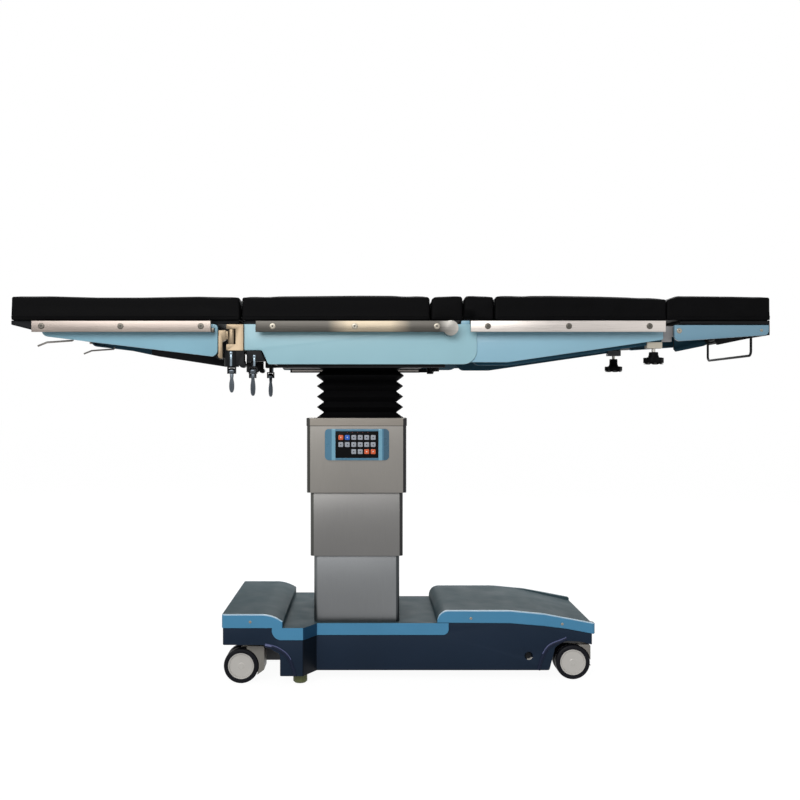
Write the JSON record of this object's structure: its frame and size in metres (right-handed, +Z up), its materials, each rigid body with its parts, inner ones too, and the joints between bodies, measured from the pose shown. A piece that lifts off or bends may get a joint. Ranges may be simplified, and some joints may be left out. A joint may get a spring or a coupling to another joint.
{
  "type": "operating table",
  "caption": "Mobile operating table with sectioned black pads, side rails, split legs, telescopic column, bellows, key panel and a T-shaped base on castors.",
  "frame": {"origin": "on the floor, below the middle of the table top's length and width", "axes": "+X to the head end, -Y to the patient's left, which is the side with the key panel, +Z up"},
  "size_m": [2.07, 0.55, 1.0615],
  "materials": {
    "pad_cover": "black coated fabric over foam, satin",
    "rail_steel": "brushed stainless",
    "bracket_steel": "satin steel, slightly warm",
    "column_steel": "fine brushed stainless sheet",
    "panel_blue": "light blue, satin",
    "base_blue": "blue, satin",
    "base_navy": "navy, satin",
    "frame_black": "black powder coat",
    "chassis_grey": "dark grey paint",
    "guide_steel": "ground steel",
    "unit_grey": "grey",
    "castor_grey": "cast, satin",
    "castor_wheel": "light grey hub in a dark tyre",
    "lock_foot": "olive, matte",
    "bellows_rubber": "black, satin",
    "bezel_blue": "light blue, gloss",
    "keypad": "black membrane with grey, blue and orange keys",
    "black_plastic": "black, satin",
    "rod_steel": "bright steel rod"
  },
  "bodies": {
    "root": {"base_chassis": "chassis_grey", "base_skirt": "base_navy", "base_deck": "base_blue", "foot_end_cover": "base_blue", "head_end_cover": "base_blue", "power_unit": "unit_grey", "column_cover_lower": "column_steel", "lift_guide_lower": "guide_steel", "lift_cylinder": "guide_steel"},
    "floor_lock": {"floor_lock_feet": "lock_foot"},
    "column_middle": {"column_cover_middle": "column_steel", "lift_guide_middle": "guide_steel"},
    "column_top": {"column_cover_upper": "column_steel", "lift_guide_upper": "guide_steel", "control_bezel": "bezel_blue", "control_keypad": "keypad", "bellows": "bellows_rubber"},
    "tilt_cross": {"tilt_cross": "guide_steel"},
    "seat": {"seat_frame": "frame_black", "seat_side_panels": "panel_blue", "seat_rails": "rail_steel", "seat_pad": "pad_cover", "leg_mount_brackets": "bracket_steel"},
    "kidney_bridge": {"kidney_bridge": "frame_black", "kidney_pad": "pad_cover"},
    "back": {"back_frame": "frame_black", "back_side_panels": "panel_blue", "back_rails": "rail_steel", "back_pad": "pad_cover", "lower_back_pad": "pad_cover"},
    "head": {"head_frame": "frame_black", "head_side_panels": "panel_blue", "head_pad": "pad_cover"},
    "head_bail": {"head_bail": "rod_steel"},
    "castor_swivel_foot_left": {"castor_housing_foot_left": "castor_grey"},
    "castor_wheels_foot_left": {"castor_wheels_foot_left": "castor_wheel"},
    "castor_swivel_foot_right": {"castor_housing_foot_right": "castor_grey"},
    "castor_wheels_foot_right": {"castor_wheels_foot_right": "castor_wheel"},
    "castor_swivel_head_left": {"castor_housing_head_left": "castor_grey"},
    "castor_wheels_head_left": {"castor_wheels_head_left": "castor_wheel"},
    "castor_swivel_head_right": {"castor_housing_head_right": "castor_grey"},
    "castor_wheels_head_right": {"castor_wheels_head_right": "castor_wheel"},
    "head_clamp_left": {"head_clamp_knob_left": "black_plastic"},
    "leg_arm_left": {"leg_arm_left": "bracket_steel"},
    "leg_left": {"leg_frame_left": "frame_black", "leg_panel_left": "panel_blue", "leg_rail_left": "rail_steel", "leg_pad_left": "pad_cover"},
    "leg_lever_left": {"leg_lever_left": "rod_steel"},
    "spread_handle_left": {"spread_handle_left": "black_plastic"},
    "post_handle_left": {"post_handle_left": "black_plastic"},
    "head_clamp_right": {"head_clamp_knob_right": "black_plastic"},
    "leg_arm_right": {"leg_arm_right": "bracket_steel"},
    "leg_right": {"leg_frame_right": "frame_black", "leg_panel_right": "panel_blue", "leg_rail_right": "rail_steel", "leg_pad_right": "pad_cover"},
    "leg_lever_right": {"leg_lever_right": "rod_steel"},
    "spread_handle_right": {"spread_handle_right": "black_plastic"},
    "post_handle_right": {"post_handle_right": "black_plastic"}
  },
  "joints": [
    {"name": "castor_swivel_foot_left", "type": "hinge", "parent": "root", "child": "castor_swivel_foot_left", "pos_m": [-0.387, -0.182, 0.1], "axis": [0, 0, 1], "continuous": true},
    {"name": "castor_spin_foot_left", "type": "hinge", "parent": "castor_swivel_foot_left", "child": "castor_wheels_foot_left", "pos_m": [-0.411, -0.182, 0.048], "axis": [0, 1, 0], "continuous": true},
    {"name": "castor_swivel_foot_right", "type": "hinge", "parent": "root", "child": "castor_swivel_foot_right", "pos_m": [-0.387, 0.182, 0.1], "axis": [0, 0, 1], "continuous": true},
    {"name": "castor_spin_foot_right", "type": "hinge", "parent": "castor_swivel_foot_right", "child": "castor_wheels_foot_right", "pos_m": [-0.411, 0.182, 0.048], "axis": [0, 1, 0], "continuous": true},
    {"name": "castor_swivel_head_left", "type": "hinge", "parent": "root", "child": "castor_swivel_head_left", "pos_m": [0.535, -0.144, 0.1], "axis": [0, 0, 1], "continuous": true},
    {"name": "castor_spin_head_left", "type": "hinge", "parent": "castor_swivel_head_left", "child": "castor_wheels_head_left", "pos_m": [0.511, -0.144, 0.048], "axis": [0, 1, 0], "continuous": true},
    {"name": "castor_swivel_head_right", "type": "hinge", "parent": "root", "child": "castor_swivel_head_right", "pos_m": [0.535, 0.144, 0.1], "axis": [0, 0, 1], "continuous": true},
    {"name": "castor_spin_head_right", "type": "hinge", "parent": "castor_swivel_head_right", "child": "castor_wheels_head_right", "pos_m": [0.511, 0.144, 0.048], "axis": [0, 1, 0], "continuous": true},
    {"name": "floor_lock", "type": "slide", "parent": "root", "child": "floor_lock", "axis": [0, 0, 1], "range_m": [0, 0.012]},
    {"name": "column_lift", "type": "slide", "parent": "root", "child": "column_top", "axis": [0, 0, 1], "range_m": [-0.32, 0]},
    {"name": "column_middle_lift", "type": "slide", "parent": "root", "child": "column_middle", "axis": [0, 0, 1], "range_m": [-0.16, 0]},
    {"name": "table_pitch", "type": "hinge", "parent": "column_top", "child": "tilt_cross", "pos_m": [-0.093, 0, 0.84], "axis": [0, 1, 0], "range_deg": [-25, 25], "deforming": ["bellows"]},
    {"name": "table_roll", "type": "hinge", "parent": "tilt_cross", "child": "seat", "pos_m": [-0.093, 0, 0.84], "axis": [1, 0, 0], "range_deg": [-20, 20]},
    {"name": "kidney_lift", "type": "slide", "parent": "seat", "child": "kidney_bridge", "axis": [0, 0, -1], "range_m": [-0.1, 0]},
    {"name": "back_hinge", "type": "hinge", "parent": "seat", "child": "back", "pos_m": [0.1614, 0, 0.9744], "axis": [0, -1, 0], "range_deg": [-20, 75], "deforming": ["kidney_pad", "lower_back_pad"]},
    {"name": "head_hinge", "type": "hinge", "parent": "back", "child": "head", "pos_m": [0.786, 0, 0.969], "axis": [0, -1, 0], "range_deg": [-90, 40], "deforming": ["head_pad"]},
    {"name": "head_bail", "type": "hinge", "parent": "head", "child": "head_bail", "pos_m": [1.01, 0, 0.97], "axis": [0, -1, 0], "range_deg": [0, 25], "stiffness_Nm_per_rad": 0.6},
    {"name": "head_clamp_left", "type": "hinge", "parent": "back", "child": "head_clamp_left", "pos_m": [0.724, -0.215, 0.9], "axis": [0, 0, 1], "range_deg": [0, 360]},
    {"name": "leg_spread_left", "type": "hinge", "parent": "seat", "child": "leg_arm_left", "pos_m": [-0.433, -0.238, 0.95], "axis": [0, 0, 1], "range_deg": [0, 90]},
    {"name": "leg_drop_left", "type": "hinge", "parent": "leg_arm_left", "child": "leg_left", "pos_m": [-0.462, -0.238, 0.901], "axis": [0, -1, 0], "range_deg": [0, 90]},
    {"name": "leg_lever_left", "type": "hinge", "parent": "leg_left", "child": "leg_lever_left", "pos_m": [-0.868, -0.214, 0.962], "axis": [0, 1, 0], "range_deg": [0, 12], "stiffness_Nm_per_rad": 0.25},
    {"name": "spread_handle_left", "type": "hinge", "parent": "seat", "child": "spread_handle_left", "pos_m": [-0.433, -0.238, 0.859], "axis": [1, 0, 0], "range_deg": [-80, 0]},
    {"name": "post_handle_left", "type": "hinge", "parent": "seat", "child": "post_handle_left", "pos_m": [-0.375, -0.238, 0.859], "axis": [1, 0, 0], "range_deg": [-80, 0]},
    {"name": "head_clamp_right", "type": "hinge", "parent": "back", "child": "head_clamp_right", "pos_m": [0.724, 0.215, 0.9], "axis": [0, 0, 1], "range_deg": [0, 360]},
    {"name": "leg_spread_right", "type": "hinge", "parent": "seat", "child": "leg_arm_right", "pos_m": [-0.433, 0.238, 0.95], "axis": [0, 0, -1], "range_deg": [0, 90]},
    {"name": "leg_drop_right", "type": "hinge", "parent": "leg_arm_right", "child": "leg_right", "pos_m": [-0.462, 0.238, 0.901], "axis": [0, -1, 0], "range_deg": [0, 90]},
    {"name": "leg_lever_right", "type": "hinge", "parent": "leg_right", "child": "leg_lever_right", "pos_m": [-0.868, 0.214, 0.962], "axis": [0, 1, 0], "range_deg": [0, 12], "stiffness_Nm_per_rad": 0.25},
    {"name": "spread_handle_right", "type": "hinge", "parent": "seat", "child": "spread_handle_right", "pos_m": [-0.433, 0.238, 0.859], "axis": [-1, 0, 0], "range_deg": [-80, 0]},
    {"name": "post_handle_right", "type": "hinge", "parent": "seat", "child": "post_handle_right", "pos_m": [-0.375, 0.238, 0.859], "axis": [-1, 0, 0], "range_deg": [-80, 0]}
  ],
  "couplings": [
    {"joint": "column_middle_lift", "follows": "column_lift", "ratio": 0.5}
  ]
}
